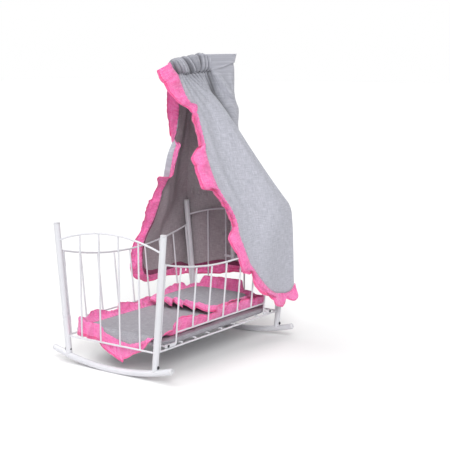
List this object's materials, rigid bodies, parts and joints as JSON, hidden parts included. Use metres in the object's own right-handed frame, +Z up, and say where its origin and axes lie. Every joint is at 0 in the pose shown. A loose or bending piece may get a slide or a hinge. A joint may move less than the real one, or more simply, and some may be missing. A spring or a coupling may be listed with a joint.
{
  "type": "doll cradle",
  "caption": "Doll's rocking cradle: painted tube and wire frame on curved runners, with mattress, frilled quilt and pillow, and a ruffled cloth canopy that hangs from a bent rod.",
  "frame": {"origin": "on the floor, under the middle of the whole cradle's bounding box", "axes": "+X from the foot end to the head end, +Y to the left side as seen from the foot, +Z up"},
  "size_m": [0.4586, 0.3116, 0.6205],
  "materials": {
    "frame_paint": "smooth satin-gloss white enamel",
    "cap_plastic": "moulded white plastic",
    "screw_steel": "dark steel",
    "plain_cloth": "plain weave with slubs, pale blue-grey",
    "ruffle_cloth": "plain weave, pink"
  },
  "bodies": {
    "frame": {"foot_post_left": "frame_paint", "foot_post_cap_left": "cap_plastic", "foot_post_screw_left": "screw_steel", "foot_post_right": "frame_paint", "foot_post_cap_right": "cap_plastic", "foot_post_screw_right": "screw_steel", "head_post_left": "frame_paint", "head_post_cap_left": "cap_plastic", "head_post_screw_left": "screw_steel", "head_post_right": "frame_paint", "head_post_cap_right": "cap_plastic", "head_post_screw_right": "screw_steel", "foot_runner": "frame_paint", "foot_runner_cap_left": "cap_plastic", "foot_runner_cap_right": "cap_plastic", "head_runner": "frame_paint", "head_runner_cap_left": "cap_plastic", "head_runner_cap_right": "cap_plastic", "foot_grid": "frame_paint", "head_grid": "frame_paint", "side_frame_left": "frame_paint", "side_frame_right": "frame_paint", "side_bar_left_1": "frame_paint", "side_bar_left_2": "frame_paint", "side_bar_left_3": "frame_paint", "side_bar_left_4": "frame_paint", "side_bar_left_5": "frame_paint", "side_bar_left_6": "frame_paint", "side_bar_left_7": "frame_paint", "side_rail_left": "frame_paint", "side_bar_right_1": "frame_paint", "side_bar_right_2": "frame_paint", "side_bar_right_3": "frame_paint", "side_bar_right_4": "frame_paint", "side_bar_right_5": "frame_paint", "side_bar_right_6": "frame_paint", "side_bar_right_7": "frame_paint", "side_rail_right": "frame_paint", "bed_base": "frame_paint", "foot_base_screw_left": "screw_steel", "foot_base_screw_right": "screw_steel", "head_base_screw_left": "screw_steel", "head_base_screw_right": "screw_steel", "rod_socket": "frame_paint", "mattress": "plain_cloth"},
    "canopy": {"canopy_rod": "frame_paint", "canopy_rod_cap": "cap_plastic", "canopy_right": "plain_cloth", "canopy_left": "plain_cloth", "canopy_back": "plain_cloth", "canopy_heading": "plain_cloth", "ruffle_right": "ruffle_cloth", "ruffle_left": "ruffle_cloth", "ruffle_back": "ruffle_cloth"},
    "quilt": {"duvet": "plain_cloth", "duvet_ruffle": "ruffle_cloth"},
    "pillow": {"pillow": "plain_cloth", "pillow_ruffle": "ruffle_cloth"}
  },
  "joints": [
    {"name": "canopy_lift", "type": "slide", "parent": "frame", "child": "canopy", "axis": [0, 0, 1], "range_m": [0, 0.24]},
    {"name": "quilt_lift", "type": "slide", "parent": "frame", "child": "quilt", "axis": [0, 0, 1], "range_m": [0, 0.165]},
    {"name": "pillow_draw", "type": "slide", "parent": "quilt", "child": "pillow", "axis": [-0.97, 0, 0.243], "range_m": [0, 0.175]}
  ]
}
